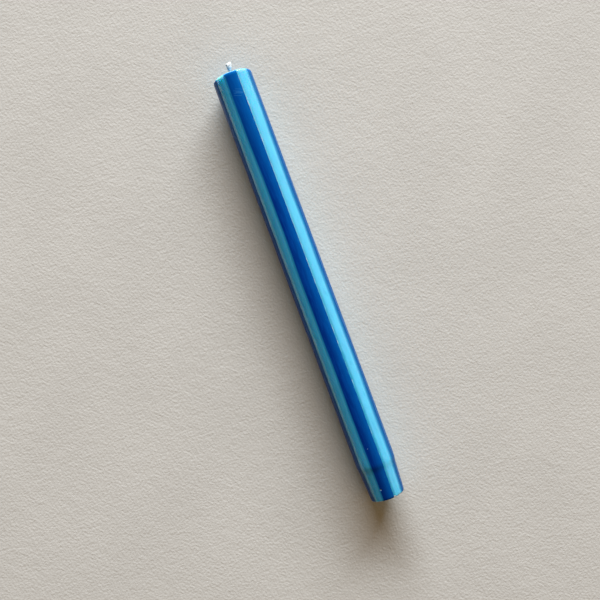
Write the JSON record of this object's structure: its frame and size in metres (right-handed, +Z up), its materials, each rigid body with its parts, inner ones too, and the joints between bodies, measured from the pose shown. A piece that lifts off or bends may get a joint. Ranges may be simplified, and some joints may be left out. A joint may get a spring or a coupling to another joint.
{
  "type": "dinner candle",
  "caption": "Straight dinner candle of light blue wax with dark blue stripes along it, a coned foot for a holder and a braided cotton wick, lying on its side.",
  "frame": {"origin": "on the ground that the candle lies on, below the middle of its overall length", "axes": "+X along the candle from the foot to the wick, +Z up from the ground, +Y to the side"},
  "size_m": [0.2532, 0.022, 0.022],
  "materials": {
    "light_wax": "light blue wax with a soft gloss",
    "dark_wax": "dark blue wax with a soft gloss",
    "cotton": "braided white cotton, tinted with wax at its root"
  },
  "bodies": {
    "root": {"candle_body": "light_wax", "dark_stripe_1": "dark_wax", "dark_stripe_2": "dark_wax", "dark_stripe_3": "dark_wax", "dark_stripe_4": "dark_wax", "dark_stripe_5": "dark_wax", "wick": "cotton"}
  },
  "joints": []
}
